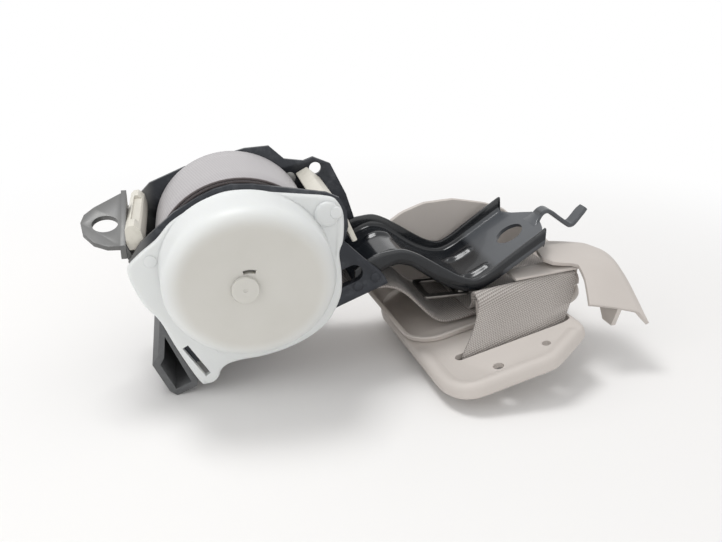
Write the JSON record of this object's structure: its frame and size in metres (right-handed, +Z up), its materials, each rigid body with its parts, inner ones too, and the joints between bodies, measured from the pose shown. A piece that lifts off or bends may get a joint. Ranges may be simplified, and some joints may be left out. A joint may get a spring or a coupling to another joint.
{
  "type": "seat belt retractor",
  "caption": "Inertia-reel seat belt retractor with wound webbing, stamped S-shaped mounting bracket and a moulded belt guide trim through which the strap passes.",
  "frame": {"origin": "centre of the bounding box at its lowest plane, as the object lies on a table", "axes": "+X from the mounting ear towards the hooked end of the bracket, +Y along the spool from the spring cover towards the locking side, +Z up from the table"},
  "size_m": [0.222, 0.1114, 0.0868],
  "materials": {
    "coated_black_steel": "gloss",
    "frame_steel": "satin",
    "bright_steel": "satin",
    "hard_steel": "satin",
    "white_nylon": "satin",
    "cream_plastic": "matt",
    "grey_plastic": "matt",
    "dark_plastic": "matt",
    "cast_alloy": "as cast",
    "webbing": "woven",
    "beige_plastic": "matt"
  },
  "bodies": {
    "retractor": {"belt_stop": "grey_plastic", "belt_strap": "webbing", "block_pin": "bright_steel", "clock_spring": "bright_steel", "cover_pin_a": "white_nylon", "cover_pin_b": "white_nylon", "cover_pin_c": "white_nylon", "foot_block": "dark_plastic", "front_bushing": "white_nylon", "guide_saddle": "beige_plastic", "inner_guard": "cream_plastic", "pawl_pin": "bright_steel", "rear_bushing": "white_nylon", "retractor_frame": "frame_steel", "rivet_far_a": "bright_steel", "rivet_far_b": "bright_steel", "rivet_near_a": "bright_steel", "rivet_near_b": "bright_steel", "s_bracket": "coated_black_steel", "sensor_cover": "grey_plastic", "sensor_housing": "grey_plastic", "sensor_screw_a": "bright_steel", "sensor_screw_b": "bright_steel", "spring_base": "white_nylon", "spring_cover": "white_nylon", "tie_bar": "bright_steel", "trim_bezel": "beige_plastic", "trim_clip_far": "hard_steel", "trim_clip_near": "hard_steel", "trim_lid": "beige_plastic", "trim_shell": "beige_plastic", "webbing_guide": "cream_plastic"},
    "reel": {"spool": "cast_alloy", "torsion_bar": "bright_steel", "webbing_roll": "webbing", "ratchet_wheel": "hard_steel", "sensor_wheel": "grey_plastic", "spring_arbor": "grey_plastic"},
    "pawl": {"lock_pawl": "hard_steel"},
    "lever": {"sensor_lever": "grey_plastic"},
    "ball": {"sensor_ball": "bright_steel"}
  },
  "joints": [
    {"name": "reel_spin", "type": "hinge", "parent": "retractor", "child": "reel", "pos_m": [-0.0526, 0.01316, 0.05321], "axis": [0, -1, 0], "continuous": true},
    {"name": "pawl_swing", "type": "hinge", "parent": "retractor", "child": "pawl", "pos_m": [-0.03291, 0.04331, 0.05253], "axis": [0, 1, 0], "range_deg": [0, 12]},
    {"name": "lever_lift", "type": "hinge", "parent": "retractor", "child": "lever", "pos_m": [-0.0626, 0.04966, 0.04021], "axis": [0, -1, 0], "range_deg": [0, 3]},
    {"name": "ball_roll", "type": "slide", "parent": "retractor", "child": "ball", "axis": [0, 0.98, 0.199], "range_m": [0, 0.0012]}
  ],
  "couplings": [
    {"joint": "lever_lift", "follows": "ball_roll", "rad_per_m": 43.6}
  ]
}
